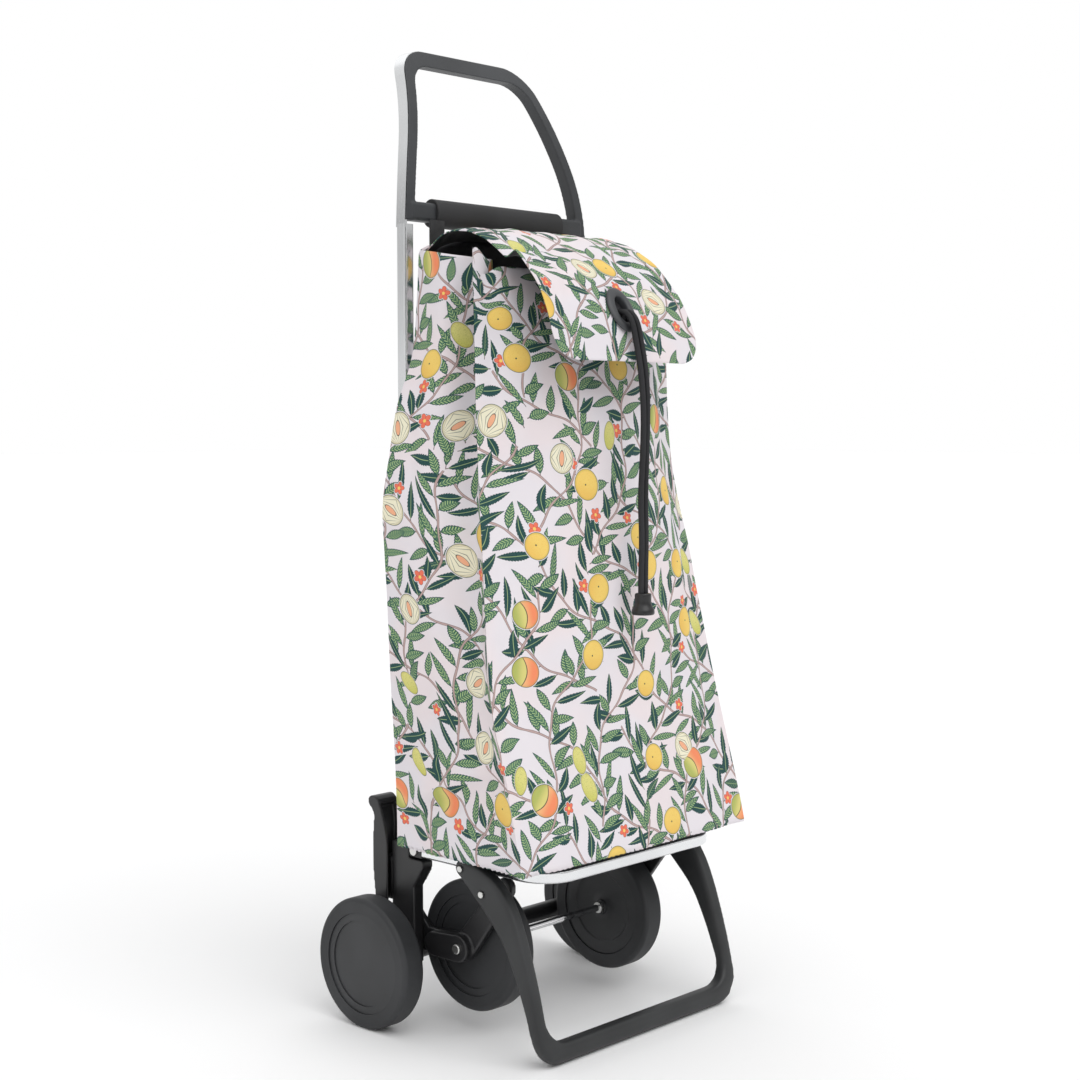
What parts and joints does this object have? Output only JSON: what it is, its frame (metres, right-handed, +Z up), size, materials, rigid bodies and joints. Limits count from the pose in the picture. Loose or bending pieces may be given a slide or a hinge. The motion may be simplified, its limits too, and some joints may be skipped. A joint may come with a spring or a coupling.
{
  "type": "shopping trolley on wheels",
  "caption": "Folding shopping trolley: tall printed cloth bag with flap and drawcord, bent tube frame with padded bow handle, swinging wheel arms and a U-shaped front leg.",
  "frame": {"origin": "on the ground, midway between the foremost and rearmost points and between the wheels", "axes": "+X across the trolley, -Y towards its front (the bag's printed face), +Z up"},
  "size_m": [0.377, 0.299, 1.0313],
  "materials": {
    "aluminium_tube": "satin anodised",
    "grip_plastic": "fine matt texture",
    "sleeve_rubber": "matt",
    "black_strap": "woven webbing",
    "black_plastic": "moulded, half gloss",
    "leg_plastic": "fine matt texture",
    "zinc_steel": "zinc plated",
    "chrome_axle": "bright",
    "tyre_rubber": "matt",
    "wheel_plastic": "half matt",
    "base_board": "black board",
    "printed_cloth": "printed plain weave",
    "black_lining": "coated cloth",
    "black_cord": "braided",
    "eyelet_plastic": "moulded",
    "bell_plastic": "moulded"
  },
  "bodies": {
    "rear_frame": {"rear_frame_tube": "aluminium_tube", "handle_grip": "grip_plastic", "crossbar_sleeve": "sleeve_rubber", "bag_hanger_straps": "black_strap", "foot_moulding_left": "black_plastic", "foot_moulding_right": "black_plastic", "kerb_skid_left": "black_plastic", "kerb_skid_right": "black_plastic", "rear_axle": "zinc_steel", "rear_axle_tube": "black_plastic", "rear_axle_spacers": "black_plastic", "rear_axle_push_nuts": "zinc_steel", "arm_pivot_pins": "zinc_steel", "base_hinge_pins": "zinc_steel", "bag_body": "printed_cloth", "bag_lining": "black_lining"},
    "flap": {"bag_flap": "printed_cloth", "eyelet_front": "eyelet_plastic", "eyelet_back": "eyelet_plastic", "drawcord_near": "black_cord", "drawcord_far": "black_cord", "cord_bell": "bell_plastic"},
    "base": {"base_frame_tube": "aluminium_tube", "base_hinge_knuckles": "black_plastic", "base_board": "base_board", "leg_pivot_rivets": "zinc_steel"},
    "leg": {"front_leg": "leg_plastic", "arm_link_rivets": "zinc_steel"},
    "arms": {"wheel_arm_left": "black_plastic", "wheel_arm_right": "black_plastic", "front_axle": "chrome_axle", "front_axle_bolts": "zinc_steel", "front_axle_collars": "zinc_steel"},
    "rear_wheel_left": {"rear_tyre_left": "tyre_rubber", "rear_wheel_centre_left": "wheel_plastic", "rear_wheel_cap_left": "wheel_plastic"},
    "rear_wheel_right": {"rear_tyre_right": "tyre_rubber", "rear_wheel_centre_right": "wheel_plastic", "rear_wheel_cap_right": "wheel_plastic"},
    "front_wheel_left": {"front_tyre_left": "tyre_rubber", "front_wheel_centre_left": "wheel_plastic", "front_wheel_cap_left": "wheel_plastic"},
    "front_wheel_right": {"front_tyre_right": "tyre_rubber", "front_wheel_centre_right": "wheel_plastic", "front_wheel_cap_right": "wheel_plastic"}
  },
  "joints": [
    {"name": "base_fold", "type": "hinge", "parent": "rear_frame", "child": "base", "pos_m": [0, 0.052, 0.185], "axis": [-1, 0, 0], "range_deg": [0, 90], "deforming": ["bag_body", "bag_lining"]},
    {"name": "leg_fold", "type": "hinge", "parent": "base", "child": "leg", "pos_m": [0, -0.0366, 0.184], "axis": [1, 0, 0], "range_deg": [0, 107]},
    {"name": "arm_fold", "type": "hinge", "parent": "rear_frame", "child": "arms", "pos_m": [0, 0.07, 0.11], "axis": [-1, 0, 0], "range_deg": [0, 58]},
    {"name": "rear_wheel_left_spin", "type": "hinge", "parent": "rear_frame", "child": "rear_wheel_left", "pos_m": [-0.1748, 0.0805, 0.069], "axis": [1, 0, 0], "continuous": true},
    {"name": "rear_wheel_right_spin", "type": "hinge", "parent": "rear_frame", "child": "rear_wheel_right", "pos_m": [0.1748, 0.0805, 0.069], "axis": [1, 0, 0], "continuous": true},
    {"name": "front_wheel_left_spin", "type": "hinge", "parent": "arms", "child": "front_wheel_left", "pos_m": [-0.102, -0.0073, 0.0908], "axis": [1, 0, 0], "continuous": true},
    {"name": "front_wheel_right_spin", "type": "hinge", "parent": "arms", "child": "front_wheel_right", "pos_m": [0.102, -0.0073, 0.0908], "axis": [1, 0, 0], "continuous": true},
    {"name": "flap_lift", "type": "hinge", "parent": "rear_frame", "child": "flap", "pos_m": [0, 0.046, 0.8275], "axis": [-1, 0, 0], "range_deg": [0, 80]}
  ],
  "couplings": [
    {"joint": "leg_fold", "follows": "base_fold", "ratio": 1.18},
    {"joint": "arm_fold", "follows": "base_fold", "ratio": 0.64}
  ]
}
